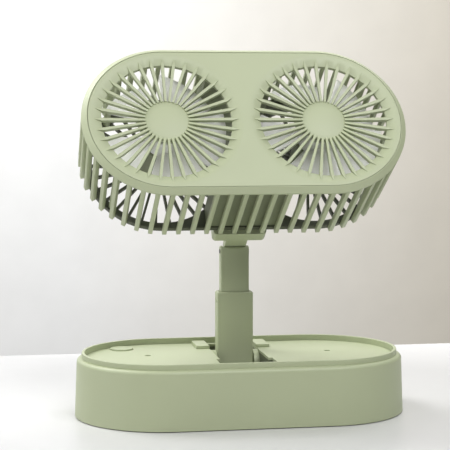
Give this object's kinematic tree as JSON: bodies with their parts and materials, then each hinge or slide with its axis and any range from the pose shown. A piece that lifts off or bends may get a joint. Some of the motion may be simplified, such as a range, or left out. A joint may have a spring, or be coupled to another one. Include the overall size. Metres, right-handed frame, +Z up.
{
  "type": "desk fan",
  "caption": "Twin desk fan with an oval head of radial grilles and side fins, on a telescoping pole that tilts and folds down into an oval base.",
  "frame": {"origin": "centre of the base's footprint on the surface it stands on", "axes": "+Z up, +X along the oval to the fan's right as seen from in front, and -Y towards the front"},
  "size_m": [0.24, 0.129, 0.2614],
  "materials": {
    "green_shell": "satin",
    "white_fan": "satin",
    "foot_rubber": "matte",
    "steel": "satin",
    "bush_nylon": "satin",
    "motor_steel": "satin",
    "cover_plastic": "matte",
    "board": "satin",
    "cell_wrap": "glossy"
  },
  "bodies": {
    "base": {"base_housing": "green_shell", "deck_plate": "green_shell", "pole_well": "green_shell", "hinge_pin": "steel", "bottom_cover": "cover_plastic", "battery_tray": "cover_plastic", "control_board": "board", "usb_socket": "motor_steel", "power_switch": "bush_nylon", "base_screws": "steel", "deck_screws": "steel", "foot_1": "foot_rubber", "foot_2": "foot_rubber", "foot_3": "foot_rubber", "foot_4": "foot_rubber", "battery_cell_1": "cell_wrap", "battery_cell_2": "cell_wrap", "rest_block_left": "green_shell", "rest_block_right": "green_shell", "hinge_cheek_left": "green_shell", "hinge_cheek_right": "green_shell"},
    "power_button": {"power_button": "green_shell"},
    "outer_pole": {"outer_tube": "green_shell", "guide_bush": "bush_nylon", "hinge_bush": "bush_nylon"},
    "inner_pole": {"inner_tube": "green_shell", "foot_bush": "bush_nylon", "detent_ball": "steel", "tilt_pin": "steel", "tilt_washer_left": "bush_nylon", "tilt_washer_right": "bush_nylon"},
    "head": {"front_frame": "green_shell", "side_fins": "green_shell", "motor_cup_left": "green_shell", "motor_cup_right": "green_shell", "face_plate": "green_shell", "rear_cover": "green_shell", "centre_housing": "green_shell", "hinge_bracket": "green_shell", "driver_board": "board", "head_screws": "steel", "bracket_screws": "steel", "grille_left": "green_shell", "grille_right": "green_shell", "motor_left": "motor_steel", "motor_right": "motor_steel"},
    "fan_left": {"fan_left": "white_fan", "shaft_left": "steel", "hub_cap_left": "white_fan"},
    "fan_right": {"fan_right": "white_fan", "shaft_right": "steel", "hub_cap_right": "white_fan"}
  },
  "joints": [
    {"name": "pole_fold", "type": "hinge", "parent": "base", "child": "outer_pole", "pos_m": [0, 0.0255, 0.01445], "axis": [1, 0, 0], "range_deg": [0, 90]},
    {"name": "telescope", "type": "slide", "parent": "outer_pole", "child": "inner_pole", "axis": [0, 0, 1], "range_m": [-0.02255, 0]},
    {"name": "head_tilt", "type": "hinge", "parent": "inner_pole", "child": "head", "pos_m": [0, 0.0255, 0.1145], "axis": [1, 0, 0], "range_deg": [-146.6, 0]},
    {"name": "fan_left_spin", "type": "hinge", "parent": "head", "child": "fan_left", "pos_m": [-0.056, -0.02454, 0.21337], "axis": [0, -0.8348, 0.5505], "continuous": true},
    {"name": "fan_right_spin", "type": "hinge", "parent": "head", "child": "fan_right", "pos_m": [0.056, -0.02454, 0.21337], "axis": [0, -0.8348, 0.5505], "continuous": true},
    {"name": "button_press", "type": "slide", "parent": "base", "child": "power_button", "axis": [0, 0, -1], "range_m": [0, 0.0012], "stiffness_N_per_m": 400}
  ],
  "couplings": [
    {"joint": "telescope", "follows": "pole_fold", "m_per_rad": -0.014356},
    {"joint": "head_tilt", "follows": "pole_fold", "ratio": -1.6289}
  ]
}
